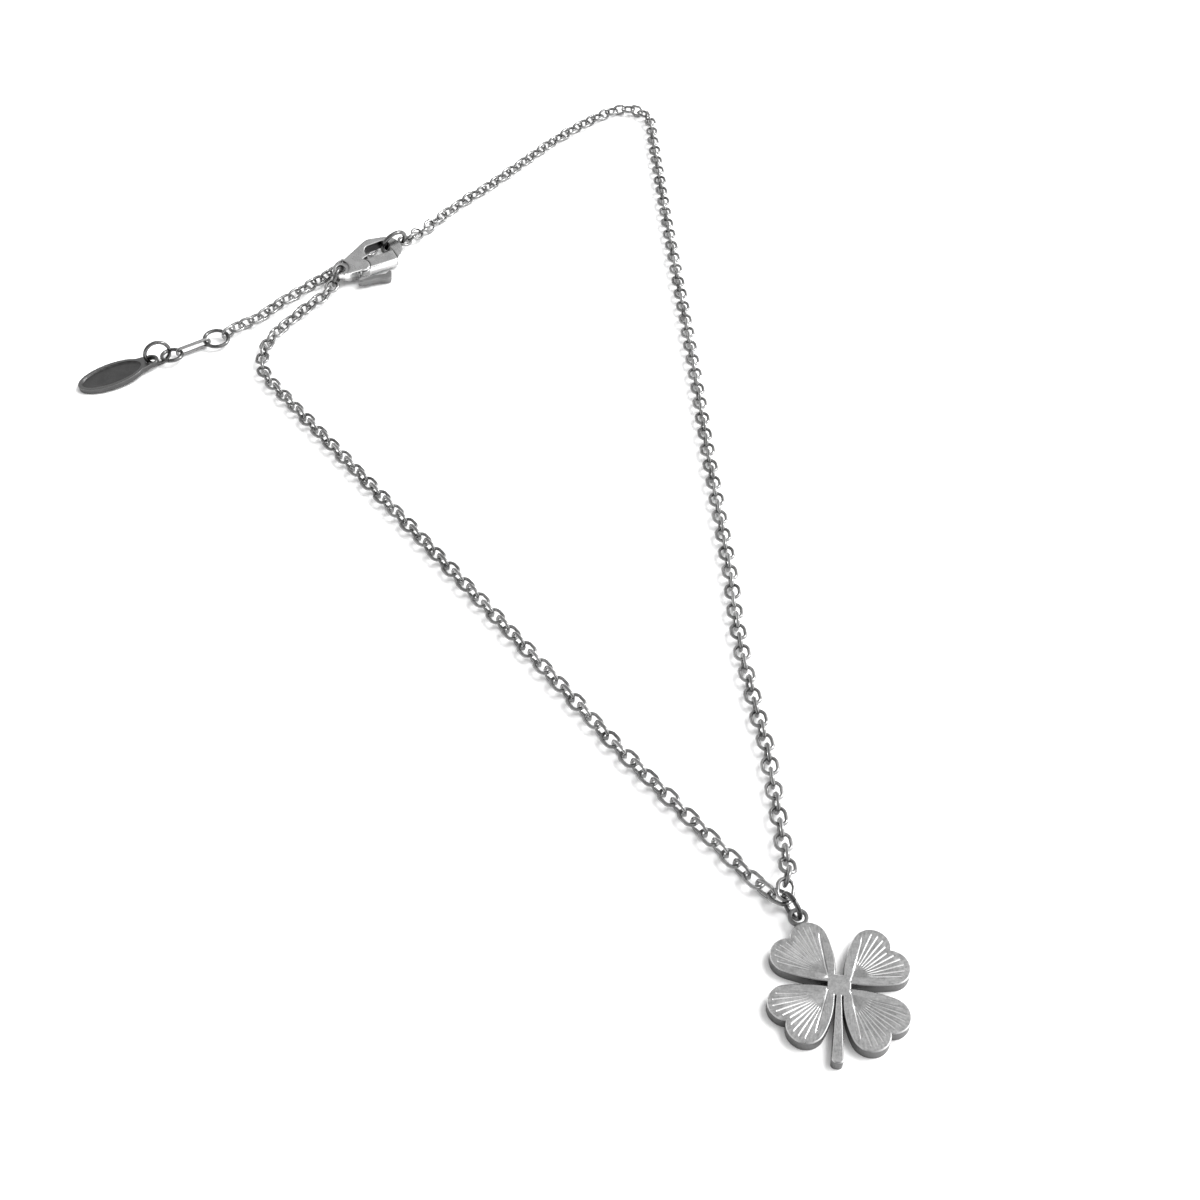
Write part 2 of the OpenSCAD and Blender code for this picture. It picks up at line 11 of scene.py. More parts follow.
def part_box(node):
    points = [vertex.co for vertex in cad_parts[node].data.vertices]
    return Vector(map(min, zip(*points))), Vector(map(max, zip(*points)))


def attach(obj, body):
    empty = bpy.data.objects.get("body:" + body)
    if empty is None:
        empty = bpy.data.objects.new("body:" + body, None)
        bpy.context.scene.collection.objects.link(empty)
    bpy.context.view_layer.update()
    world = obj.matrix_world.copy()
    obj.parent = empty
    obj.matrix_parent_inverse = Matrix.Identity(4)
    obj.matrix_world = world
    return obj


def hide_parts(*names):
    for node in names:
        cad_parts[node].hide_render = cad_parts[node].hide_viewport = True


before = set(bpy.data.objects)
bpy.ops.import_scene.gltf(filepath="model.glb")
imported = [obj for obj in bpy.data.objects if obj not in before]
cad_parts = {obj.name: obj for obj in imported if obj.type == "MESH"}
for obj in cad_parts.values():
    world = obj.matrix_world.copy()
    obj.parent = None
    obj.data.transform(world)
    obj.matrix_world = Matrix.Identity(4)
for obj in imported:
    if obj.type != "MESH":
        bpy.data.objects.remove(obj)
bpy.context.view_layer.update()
MM = 0.001
BODY = "necklace"
LEVER = "lever"


# Camera: above the pendant's near side, looking up along the loop
CAMERA_AT = (24.2, -169.5, 140)         # in millimetres
CAMERA_DOWN = 46
LENS = 43.35
SENSOR = 36
NEAREST = 0.005


def make_camera():
    data = bpy.data.cameras.new("camera")
    data.lens = LENS
    data.sensor_width = SENSOR
    data.sensor_fit = "HORIZONTAL"
    data.clip_start = NEAREST
    camera = bpy.data.objects.new("camera", data)
    camera.location = Vector(CAMERA_AT) * MM
    camera.rotation_euler = (math.radians(90 - CAMERA_DOWN), 0, 0)
    bpy.context.scene.collection.objects.link(camera)
    bpy.context.scene.camera = camera


# Plane geometry, with angles in degrees
def clamped(value):
    return max(0.0, min(1.0, value))


def ramp(value, start, full):
    """How far a value has come from start to full, between 0 and 1."""
    return clamped((value - start) / (full - start))


def toward(degrees):
    """The direction at an angle from X."""
    return np.array([math.cos(math.radians(degrees)), math.sin(math.radians(degrees))])


def angle_of(v):
    return math.degrees(math.atan2(v[1], v[0]))


def unit(v):
    return v / np.linalg.norm(v)


def left_of(v):
    return np.array([-v[1], v[0]])


def crossed(a, b):
    return a[0] * b[1] - a[1] * b[0]


def meeting(a, u, b, v):
    """Where the line through a along u meets the line through b along v."""
    return a + u * crossed(b - a, v) / crossed(u, v)


def arc(middle, r, start, end, steps):
    return [middle + r * toward(start + (end - start) * k / steps) for k in range(steps + 1)]


# Small helpers for node trees
def node(tree, kind, inputs=(), **settings):
    """A node with its settings made and its inputs filled: a socket is linked, anything else is a value."""
    made = tree.nodes.new(kind)
    for name, value in settings.items():
        setattr(made, name, value)
    for key, value in dict(inputs).items():
        if isinstance(value, bpy.types.NodeSocket):
            tree.links.new(value, made.inputs[key])
        else:
            made.inputs[key].default_value = value
    return made


def calculated(tree, operation, *values):
    """The result of one step of arithmetic on sockets and numbers."""
    return node(tree, "ShaderNodeMath", enumerate(values), operation=operation).outputs["Value"]


def mapped(tree, value, low, high, start=0.0, full=1.0, **settings):
    """A value's range from start to full, brought to the range from low to high."""
    return node(tree, "ShaderNodeMapRange", {"Value": value, "From Min": start, "From Max": full,
                                             "To Min": low, "To Max": high}, **settings).outputs["Result"]


def noise(tree, place, scale, detail):
    made = node(tree, "ShaderNodeTexNoise", {"Vector": place, "Scale": scale, "Detail": detail})
    return made.outputs["Fac"]


def mixed(tree, amount, first, second):
    return node(tree, "ShaderNodeMix", {0: amount, 2: first, 3: second}, data_type="FLOAT").outputs[0]


def grey(tree, level):
    made = node(tree, "ShaderNodeCombineColor", {"Red": level, "Green": level, "Blue": level})
    return made.outputs["Color"]


def attribute(tree, name):
    return node(tree, "ShaderNodeAttribute", attribute_name=name).outputs["Fac"]


def blank_tree(name, sockets):
    """A Geometry Nodes tree with a geometry input and output and the given named inputs."""
    tree = bpy.data.node_groups.new(name, "GeometryNodeTree")
    tree.interface.new_socket("Geometry", in_out="OUTPUT", socket_type="NodeSocketGeometry")
    tree.interface.new_socket("Geometry", in_out="INPUT", socket_type="NodeSocketGeometry")
    for socket, kind in sockets:
        tree.interface.new_socket(socket, in_out="INPUT", socket_type="NodeSocket" + kind)
    return tree, tree.nodes.new("NodeGroupInput"), tree.nodes.new("NodeGroupOutput")


# Small helpers for pieces
def show(name, mesh):
    piece = bpy.data.objects.new(name, mesh)
    bpy.context.scene.collection.objects.link(piece)
    return piece


def shown(name, work):
    """The piece that a finished mesh under work makes."""
    mesh = bpy.data.meshes.new(name)
    work.to_mesh(mesh)
    work.free()
    return show(name, mesh)


def baked(piece):
    """The piece with its modifiers turned into a plain mesh."""
    graph = bpy.context.evaluated_depsgraph_get()
    made = bpy.data.meshes.new_from_object(piece.evaluated_get(graph), depsgraph=graph)
    piece.modifiers.clear()
    piece.data = made
    return piece


def grown(name, seeds, tree, values):
    """Runs a tree on a mesh of seed points, with its inputs set, and keeps the result as a plain mesh."""
    piece = show(name, seeds)
    modifier = piece.modifiers.new("grow", "NODES")
    modifier.node_group = tree
    for socket in tree.interface.items_tree:
        if socket.in_out == "INPUT" and socket.name in values:
            modifier[socket.identifier] = values[socket.name]
    return baked(piece)


def smooth(piece, angle=None):
    """Smooth shading, with creases kept where faces meet at more than the angle."""
    mesh = piece.data
    mesh.polygons.foreach_set("use_smooth", [True] * len(mesh.polygons))
    if angle is not None:
        mesh.set_sharp_from_angle(angle=math.radians(angle))
    mesh.update()


def marked(piece, name, amounts):
    """Keeps an amount at each point of the piece, which its metal reads."""
    piece.data.attributes.new(name, "FLOAT", "POINT").data.foreach_set("value", amounts)


def finished(piece, material, slot, *nodes, body=BODY):
    """Gives a piece its material and body, and hides the solids that it stands for. The slot is not used."""
    if material is not None:
        piece.data.materials.clear()
        piece.data.materials.append(material)
    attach(piece, body)
    if nodes:
        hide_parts(*nodes)


# Metals: one recipe, with a tone, a roughness and the marks that each piece shows; some of these marks are
# painted highlight and painted shade
NOISE_LOW, NOISE_HIGH = 0.3, 0.7        # nearly all of a noise lies between these
GLOSS_LOW, GLOSS_HIGH = 0.85, 1.2       # the roughness varies between these shares of its value
GRAIN_DEPTH = 0.000004
GRAIN_STRENGTH = 0.5


def spread(tree, pattern, low, high):
    return mapped(tree, pattern, low, high, NOISE_LOW, NOISE_HIGH)


def varied(tree, shade, pattern, share):
    """The shade, made lighter and darker by up to a share as the pattern goes."""
    return calculated(tree, "MULTIPLY", shade, spread(tree, pattern, 1 - share, 1 + share))


def metal(name, tone, rough, grain=0.00012, mottle=0.0011, cloud=0.06, fleck=0.12, variety=0.0, marks=(),
          brushing=None):
    """Plain steel: clouded tone, uneven gloss and a fine grain. mottle and grain are the sizes of the clouds
    and the grain, in metres, and cloud and fleck the shares by which they change the tone. variety is how far
    the links differ, marks are (attribute, tone, roughness), and brushing says where scratches are read."""
    material = bpy.data.materials.new(name)
    material.use_nodes = True
    tree = material.node_tree
    shader = tree.nodes["Principled BSDF"]
    shader.inputs["Metallic"].default_value = 1.0
    place = node(tree, "ShaderNodeTexCoord").outputs["Object"]
    patches = noise(tree, place, 1 / mottle, detail=4.0)
    fine = noise(tree, place, 1 / grain, detail=3.0)
    shade = varied(tree, spread(tree, patches, 1 - cloud, 1 + cloud), fine, fleck)
    relief = fine
    if brushing:
        scratch = noise(tree, brushing(tree, place), 1.0, detail=3.0)
        shade = varied(tree, shade, scratch, fleck)
        relief = calculated(tree, "ADD", relief, scratch)
    if variety:
        own = mapped(tree, attribute(tree, "own"), 1 - variety, 1 + variety)
        shade = calculated(tree, "MULTIPLY", shade, own)
    gloss = spread(tree, patches, rough * GLOSS_LOW, rough * GLOSS_HIGH)
    level = calculated(tree, "MULTIPLY", shade, tone)
    for mark, mark_tone, mark_rough in marks:
        amount = attribute(tree, mark)
        level = mixed(tree, amount, level, mark_tone)
        gloss = mixed(tree, amount, gloss, mark_rough)
    bump = node(tree, "ShaderNodeBump",
                {"Height": relief, "Strength": GRAIN_STRENGTH, "Distance": GRAIN_DEPTH})
    tree.links.new(grey(tree, level), shader.inputs["Base Color"])
    tree.links.new(gloss, shader.inputs["Roughness"])
    tree.links.new(bump.outputs["Normal"], shader.inputs["Normal"])
    return material


CHAIN_METAL = metal("chain_wire", 0.26, 0.2, grain=0.0002, mottle=0.0006, cloud=0.15, variety=0.25)
RING_METAL = metal("ring_wire", 0.13, 0.2, grain=0.0002, mottle=0.0009, cloud=0.15)
# a darker copy of the ring wire: painted shade for the pendant's ring, which lies by the clover's eye
SHADED_PENDANT_RING_METAL = metal("shaded_ring_wire", 0.085, 0.22, grain=0.0002, mottle=0.0009, cloud=0.2)
# The clasp's two marks: a painted highlight on its near side's walls, and painted shade inside its holes and
# on its thumb piece
CLASP_METAL = metal("satin_clasp", 0.33, 0.27, grain=0.00018, mottle=0.0016, cloud=0.09,
                    marks=[("near_side_highlight", 0.92, 0.22), ("painted_shade", 0.09, 0.35)])
TAG_METAL = metal("dark_tag", 0.095, 0.34, mottle=0.0014, cloud=0.15, fleck=0.16,
                  marks=[("rim", 0.17, 0.26)])


# What the frame says of a piece of wire: its middle, its own directions and its sizes
def loose_bodies(mesh):
    """The separate bodies in a mesh of loose triangles, each as an array of triangle corners."""
    places = np.empty(len(mesh.vertices) * 3)
    mesh.vertices.foreach_get("co", places)
    places = places.reshape(-1, 3)
    _, joined = np.unique(np.round(places, 8), axis=0, return_inverse=True)
    mesh.calc_loop_triangles()
    corners = np.empty(len(mesh.loop_triangles) * 3, int)
    mesh.loop_triangles.foreach_get("vertices", corners)
    faces = joined.reshape(-1)[corners].reshape(-1, 3)
    label = np.arange(joined.max() + 1)
    while True:
        lowest = label[faces].min(axis=1)
        lower = label.copy()
        for k in range(3):
            np.minimum.at(lower, faces[:, k], lowest)
        lower = lower[lower]
        if (lower == label).all():
            break
        label = lower
    body = label[faces[:, 0]]
    order = np.argsort(body, kind="stable")
    triangles = places[corners].reshape(-1, 3, 3)[order]
    return np.split(triangles, np.flatnonzero(np.diff(body[order])) + 1)


def wire_pieces(name):
    """Middle, turn and size of each wire link or ring in a node: long axis on X, flat in XY."""
    found = []
    for triangles in loose_bodies(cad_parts[name].data):
        sides = np.cross(triangles[:, 1] - triangles[:, 0], triangles[:, 2] - triangles[:, 0])
        areas = np.linalg.norm(sides, axis=1)
        middles = triangles.mean(axis=1)
        mean = (middles * areas[:, None]).sum(0) / areas.sum()
        off = middles - mean
        _, axes = np.linalg.eigh((off * areas[:, None]).T @ off)
        turn = axes[:, ::-1]
        if np.linalg.det(turn) < 0:
            turn[:, 2] *= -1
        local = (triangles.reshape(-1, 3) - mean) @ turn
        low, high = local.min(0), local.max(0)
        found.append((mean + turn @ ((low + high) / 2), turn, high - low))
    return found


def seed_points(name, places):
    """A mesh of loose points, each with a turn."""
    mesh = bpy.data.meshes.new(name)
    mesh.from_pydata([tuple(at) for at, _, _ in places], [], [])
    turns = mesh.attributes.new("turn", "FLOAT_VECTOR", "POINT")
    angles = [angle for _, turn, _ in places for angle in Matrix(turn.tolist()).to_euler()]
    turns.data.foreach_set("vector", angles)
    return mesh


def wire_tree():
    """Wire bent to a link or a ring at every seed: two half turns, a straight between them, and a cut."""
    sizes = [("Radius", "Float"), ("Straight", "Float"), ("Wire", "Float"), ("Cut angle", "Float"),
             ("Steps", "Int"), ("Sides", "Int"), ("Seed", "Int"), ("Metal", "Material")]
    tree, given, result = blank_tree("bent_wire", sizes)
    socket = given.outputs
    sweep = calculated(tree, "SUBTRACT", 2 * math.pi, socket["Cut angle"])
    start = calculated(tree, "DIVIDE", socket["Cut angle"], 2.0)
    closed = node(tree, "FunctionNodeCompare", {0: socket["Cut angle"], 1: 0.0}, operation="LESS_EQUAL")
    circle = node(tree, "GeometryNodeCurvePrimitiveCircle",
                  {"Resolution": socket["Steps"], "Radius": socket["Radius"]})
    opened = node(tree, "GeometryNodeCurveArc", {"Resolution": socket["Steps"], "Radius": socket["Radius"],
                                                 "Start Angle": start, "Sweep Angle": sweep})
    bend = node(tree, "GeometryNodeSwitch", {"Switch": closed.outputs[0], "False": opened.outputs["Curve"],
                                             "True": circle.outputs["Curve"]}, input_type="GEOMETRY")
    at = node(tree, "GeometryNodeInputPosition")
    part = node(tree, "ShaderNodeSeparateXYZ", {0: at.outputs[0]})
    side = calculated(tree, "SIGN", part.outputs["X"])
    shift = calculated(tree, "MULTIPLY", side, socket["Straight"])
    offset = node(tree, "ShaderNodeCombineXYZ", {"X": shift})
    line = node(tree, "GeometryNodeSetPosition", {"Geometry": bend.outputs[0], "Offset": offset.outputs[0]})
    thickness = calculated(tree, "DIVIDE", socket["Wire"], 2.0)
    profile = node(tree, "GeometryNodeCurvePrimitiveCircle",
                   {"Resolution": socket["Sides"], "Radius": thickness})
    wire = node(tree, "GeometryNodeCurveToMesh",
                {"Curve": line.outputs[0], "Profile Curve": profile.outputs[0], "Fill Caps": True})
    turn = node(tree, "GeometryNodeInputNamedAttribute", {"Name": "turn"}, data_type="FLOAT_VECTOR")
    turned = node(tree, "FunctionNodeEulerToRotation", {0: turn.outputs[0]})
    placed = node(tree, "GeometryNodeInstanceOnPoints",
                  {"Points": socket["Geometry"], "Instance": wire.outputs[0], "Rotation": turned.outputs[0]})
    chance = node(tree, "FunctionNodeRandomValue", {"Seed": socket["Seed"]}, data_type="FLOAT")
    toned = node(tree, "GeometryNodeStoreNamedAttribute",
                 {"Geometry": placed.outputs[0], "Name": "own", "Value": chance.outputs[1]},
                 data_type="FLOAT", domain="INSTANCE")
    real = node(tree, "GeometryNodeRealizeInstances", {"Geometry": toned.outputs[0]})
    dressed = node(tree, "GeometryNodeSetMaterial",
                   {"Geometry": real.outputs[0], "Material": socket["Metal"]})
    tree.links.new(dressed.outputs[0], result.inputs["Geometry"])
    return tree


BENT_WIRE = wire_tree()
LINK_STEPS, LINK_SIDES = 18, 5
RING_STEPS, RING_SIDES = 64, 16
RING_CUT = 0.05          # opening between a jump ring's ends, in millimetres
WIRE_CREASE = 80
CLASP_RINGS = ("clasp_tail_ring", "clasp_claw_ring")
EXTENDER_RINGS = ("extender_ring_first", "extender_ring_second", "tag_ring")


def make_wire(piece_name, node_name, material, slot, cut=False, seed=1):
    """The links or the ring of one node, as fine bent wire in the same places."""
    places = wire_pieces(node_name)
    length, width, wire = np.median([size for _, _, size in places], axis=0)
    radius = (width - wire) / 2
    steps, sides = (RING_STEPS, RING_SIDES) if len(places) == 1 else (LINK_STEPS, LINK_SIDES)
    piece = grown(piece_name, seed_points(piece_name, places), BENT_WIRE, {
        "Radius": radius, "Straight": (length - width) / 2, "Wire": wire,
        "Cut angle": RING_CUT * MM / radius if cut else 0.0,
        "Steps": steps, "Sides": sides, "Seed": seed, "Metal": material})
    smooth(piece, WIRE_CREASE)
    finished(piece, None, slot, node_name)


def make_wires():
    make_wire("links_left", "chain_left", CHAIN_METAL, "chain_metal", seed=1)
    make_wire("links_right", "chain_right", CHAIN_METAL, "chain_metal", seed=2)
    make_wire("links_extender", "chain_extender", CHAIN_METAL, "chain_metal", seed=3)
    make_wire("long_link", "extender_link", CHAIN_METAL, "chain_metal")
    # the pendant's ring takes the ring wire with painted shade
    make_wire("jump_pendant_ring", "pendant_ring", SHADED_PENDANT_RING_METAL, "ring_metal", cut=True)
    for ring in CLASP_RINGS + EXTENDER_RINGS:
        make_wire("jump_" + ring, ring, RING_METAL, "ring_metal", cut=True)


# Cast pieces: the solid's own form, with its edges rounded as tumbling rounds them
JOIN_DISTANCE = 1e-7     # corners of loose triangles this near each other are one, in metres
CAST_VOXEL = 0.06        # fineness of a cast piece's mesh, in millimetres
CAST_SWELL = 0.03        # what the tumbling takes off a clasp piece is given back, in millimetres
BODY_TUMBLE, LEVER_TUMBLE, TAG_TUMBLE = 20, 16, 3       # how often each piece's edges are softened


def merged(name):
    """A copy of a solid's mesh with its loose triangles joined."""
    work = bmesh.new()
    work.from_mesh(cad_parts[name].data)
    bmesh.ops.remove_doubles(work, verts=work.verts, dist=JOIN_DISTANCE)
    return work


def rounded(piece_name, node_name, passes, swell=0.0):
    piece = shown(piece_name, merged(node_name))
    remesh = piece.modifiers.new("cast", "REMESH")
    remesh.mode = "VOXEL"
    remesh.voxel_size = CAST_VOXEL * MM
    tumble = piece.modifiers.new("tumble", "SMOOTH")
    tumble.factor = 0.5
    tumble.iterations = passes
    if swell:
        close = piece.modifiers.new("close", "DISPLACE")
        close.mid_level = 0
        close.strength = swell * MM
    baked(piece)
    smooth(piece)
    return piece


# The clasp as it lies: the way its flats face, its turn and its lever's pivot, in millimetres
CLASP_UP = Vector((0.19617, -0.28016, 0.93969))
CLASP_TURN = 35
CLASP_PIVOT = Vector((-16.312, 42.295, 2.097))
THUMB_TOP = -2.6         # where the lever's thumb piece begins, across the clasp from the pivot
NEAR_SIDE = 0.2          # how far across from the pivot the clasp's near side reaches
# painted shade on the lever's thumb piece
THUMB_SHADE = 0.6
FACING = (0.25, 0.5)     # how far a face turns to the near side, from unmarked to fully marked
TIPPED = (0.95, 0.75)    # how level it still lies, from unmarked to fully marked
HIGHLIGHT_HEIGHT = (-0.45, 0.05)             # height over the pivot at which the painted highlight comes in
# least share of the near side's painted highlight, low on the wall
HIGHLIGHT_LEAST = 0.25


def mark_clasp(piece):
    """Marks what differs from the satin flats: a painted highlight on the near side's walls, and painted
    shade on the walls inside the holes and on the thumb piece.
    """
    along = Vector((*toward(CLASP_TURN), 0))
    across = CLASP_UP.cross(along).normalized()
    bright, painted_shade = [], []
    for vert in piece.data.vertices:
        off = vert.co / MM - CLASP_PIVOT
        reach = off.dot(across)
        near = THUMB_TOP < reach < NEAR_SIDE
        side = ramp(-vert.normal.dot(across), *FACING) * ramp(abs(vert.normal.dot(CLASP_UP)), *TIPPED)
        highlight_share = HIGHLIGHT_LEAST + (1 - HIGHLIGHT_LEAST) * ramp(off.dot(CLASP_UP), *HIGHLIGHT_HEIGHT)
        # painted highlight on the near side's walls, strongest high up; painted shade on inner walls that
        # face the near side, and on the thumb piece
        bright.append(side * highlight_share if near else 0.0)
        painted_shade.append(THUMB_SHADE if reach < THUMB_TOP else side if not near else 0.0)
    marked(piece, "near_side_highlight", bright)
    marked(piece, "painted_shade", painted_shade)
    return piece


def make_clasp():
    body = mark_clasp(rounded("cast_clasp", "clasp_body", BODY_TUMBLE, CAST_SWELL))
    finished(body, CLASP_METAL, "clasp_metal", "clasp_body")
    lever = mark_clasp(rounded("cast_lever", "clasp_lever", LEVER_TUMBLE, CAST_SWELL))
    finished(lever, CLASP_METAL, "clasp_metal", "clasp_lever", body=LEVER)


RIM_HEIGHT = 0.25        # height of the tag's rim above its field, in millimetres


def make_tag():
    """The tag, with its rim marked by height, so that the rim is brighter than the field."""
    piece = rounded("stamped_tag", "tag", TAG_TUMBLE)
    places = np.array([vert.co for vert in piece.data.vertices])
    _, axes = np.linalg.eigh(np.cov(places.T))
    up = axes[:, 0] * np.sign(axes[2, 0])
    height = places @ up
    marked(piece, "rim", np.clip((height - height.max()) / (RIM_HEIGHT * MM) + 1, 0, 1) ** 2)
    finished(piece, TAG_METAL, "tag_metal", "tag")


# Clover: sizes in millimetres, in its own frame with the hub at the origin
LEAF_ANGLE = 42
LOBE_OUT, LOBE_SIDE, LOBE_R = 5.95, 1.55, 2.1
THICK = 1.5
SIDE_SLOT, LONG_SLOT = 0.56, 0.92
HUB_R = 1.25
LONG_BOW, SIDE_BOW = 10, 16
BORDER = 0.75
DISH_R, DISH_DEPTH = 5.2, 0.45
DISH_WALL = 0.2          # width of the dish's steep side, beside the long gap
DISH_SLOPE = 1.1         # width of its gentle side, beside the side slot
DISH_EASE = 0.7          # below 1, the steep side falls fastest at its top
RAYS, RAY_FAN, RAY_W = 11, 66, 0.24
RAY_DEPTH = 0.1
RAY_START, RAY_RIM = 1.75, 0.55
RAY_TIP, RAY_WIDENS = 0.35, 2.4         # share of its width at a ray's start, and where it is full
RAY_FADE, RAY_END = 0.6, 0.12           # how fast a ray deepens at its start and ends at the rim
GROOVE_START, GROOVE_END = -0.5, 5.1    # the cut line beside the long gap, from the dish's point
GROOVE_FADE, GROOVE_TAIL = 0.3, 0.6     # how fast it deepens at its start and ends
STEM_TOP_W, STEM_END_W, STEM_L = 0.52, 1.26, 8.9
STEM_CORNER = 0.45       # rounding of the stem's end
EDGE = 0.13              # width of the bevel round the plate's upper edge
EDGE_FLAT = 0.05         # narrow flat band inside the bevel
EYE_R, EYE_HOLE_R, EYE_T = 1.15, 0.72, 0.5
EYE_DIR, EYE_WALL = 115.7, 0.1
EYE_SINK = 0.03          # how far the eye's top lies below the plate's
EYE_EDGE = 0.1           # width of the bevels on the eye
CLOVER_TURN = -7.65

# Clover: how finely its mesh is made, and how its edges are marked with bright cuts and painted shade
FLANK_STEPS, LOBE_STEPS, CORNER_STEPS, EYE_STEPS = 10, 26, 6, 40
RAY_STOPS, EDGE_STOPS = 8, 18
FACE_GRID, GRID_ROWS = 0.36, 0.9        # spacing of the face's points, and the share of it between rows
GRID_SHIFT = (0.013, 0.007)
GRID_CLEAR = 0.17        # how far the grid's points stay from the chosen lines
LINE_POINT = 0.25        # share of a ray's width at which its sides' lines start and end
LOW_SIDE_START, CUT_LINE_START = 0.5, GROOVE_START + 0.05
SAME_POINT = 1e-5        # points of the face this near each other are one
CLOVER_CREASE = 15
BEVEL_CUT = 0.45         # how bright a cut the bevel shows
EYE_SHADE = 0.7          # painted shade on the eye, as a share of the painted shade inside its hole
# Rings of the bevel: how far in and down, as shares of its width, and how much painted shade and cut each
# shows
BEVEL_RINGS = ((1, 0, 0, 0), (0.9, 0.06, 0, BEVEL_CUT), (0.06, 0.9, 0, BEVEL_CUT), (0, 1, 1, 0))


def bow_middle(p, c, r, big, side):
    """Middle of a large circle through p that touches the circle c, r from outside it."""
    d = np.linalg.norm(c - p)
    a = (d * d + big * big - (big - r) ** 2) / (2 * d)
    u = (c - p) / d
    return p + a * u - side * math.sqrt(big * big - a * a) * left_of(u)


# Clover: middles, edges and dish of its first leaf
OUTWARDS = toward(LEAF_ANGLE)
ACROSS = -left_of(OUTWARDS)
LOBE_LOW = LOBE_OUT * OUTWARDS + LOBE_SIDE * ACROSS
LOBE_HIGH = LOBE_OUT * OUTWARDS - LOBE_SIDE * ACROSS
SLOT_LOW = np.array([HUB_R, SIDE_SLOT / 2])
SLOT_HIGH = np.array([LONG_SLOT / 2, HUB_R])
LOW_MID = bow_middle(SLOT_LOW, LOBE_LOW, LOBE_R, SIDE_BOW, -1)
HIGH_MID = bow_middle(SLOT_HIGH, LOBE_HIGH, LOBE_R, LONG_BOW, 1)
LOW_TOUCH = angle_of(LOBE_LOW - LOW_MID)
HIGH_TOUCH = angle_of(LOBE_HIGH - HIGH_MID) % 360
HALF_NOTCH = math.degrees(math.asin(LOBE_SIDE / LOBE_R))
LOW_EDGE = unit(LOBE_LOW + LOBE_R * toward(LOW_TOUCH) - SLOT_LOW)
HIGH_EDGE = unit(LOBE_HIGH + LOBE_R * toward(HIGH_TOUCH) - SLOT_HIGH)
LOW_IN = left_of(LOW_EDGE)
HIGH_IN = -left_of(HIGH_EDGE)
DISH_POINT = meeting(SLOT_LOW + BORDER * LOW_IN, LOW_EDGE, SLOT_HIGH + BORDER * HIGH_IN, HIGH_EDGE)
NOTCH_REACH = LOBE_OUT + math.sqrt(LOBE_R ** 2 - LOBE_SIDE ** 2) - np.linalg.norm(DISH_POINT)


def ray_reach(angle):
    """How far a ray runs from the dish's point before it comes near the leaf's edge."""
    way = toward(angle)
    lobe = (LOBE_LOW if angle < LEAF_ANGLE else LOBE_HIGH) - DISH_POINT
    off = abs(crossed(lobe, way))
    room = LOBE_R - RAY_RIM
    return NOTCH_REACH - RAY_RIM if off > room else lobe @ way + math.sqrt(room ** 2 - off ** 2)


# The cut line beside the long gap takes the place of the last ray of the fan
RAY_ANGLES = [LEAF_ANGLE - RAY_FAN / 2 + RAY_FAN * k / (RAYS - 1) for k in range(RAYS - 1)]
RAY_LINES = [(toward(angle), ray_reach(angle)) for angle in RAY_ANGLES]


def leaf_outline():
    """The first leaf's edge, from the side slot round its two lobes to the long gap."""
    low = arc(LOW_MID, SIDE_BOW, angle_of(SLOT_LOW - LOW_MID), LOW_TOUCH, FLANK_STEPS)
    lobe_low = arc(LOBE_LOW, LOBE_R, LOW_TOUCH, LEAF_ANGLE + HALF_NOTCH, LOBE_STEPS)
    lobe_high = arc(LOBE_HIGH, LOBE_R, LEAF_ANGLE - HALF_NOTCH, HIGH_TOUCH, LOBE_STEPS)
    high = arc(HIGH_MID, LONG_BOW, HIGH_TOUCH, angle_of(SLOT_HIGH - HIGH_MID) % 360, FLANK_STEPS)
    return low + lobe_low[1:] + lobe_high[1:] + high[1:]


def clover_outline():
    """The whole plate's edge, counter-clockwise: four leaves, with the stem between the lower two."""
    leaf = leaf_outline()
    flip = [np.array([-p[0], p[1]]) for p in reversed(leaf)]
    stem_w = STEM_TOP_W / 2 + (STEM_END_W - STEM_TOP_W) / 2 * (HUB_R / 2) / (STEM_L - STEM_CORNER - HUB_R / 2)
    turn_at = np.array([STEM_CORNER - STEM_END_W / 2, STEM_CORNER - STEM_L])
    half = [np.array([-stem_w, -HUB_R])] + arc(turn_at, STEM_CORNER, 180, 270, CORNER_STEPS)
    stem = half + [np.array([-x, y]) for x, y in reversed(half)]
    return leaf + flip + [-p for p in leaf] + stem + [-p for p in flip]


def normals(steps):
    return np.column_stack([-steps[:, 1], steps[:, 0]]) / np.linalg.norm(steps, axis=1)[:, None]


def inset(outline, distance):
    """The outline moved inwards."""
    points = np.array(outline)
    before = normals(points - np.roll(points, 1, axis=0))
    after = normals(np.roll(points, -1, axis=0) - points)
    mitre = (before + after) / (1 + (before * after).sum(1))[:, None]
    return points + distance * mitre


def ray_half(along):
    """Half the width of a ray, which widens outwards to its full width."""
    return RAY_W / 2 * min(1.0, RAY_TIP + (1 - RAY_TIP) * (along - RAY_START) / RAY_WIDENS)


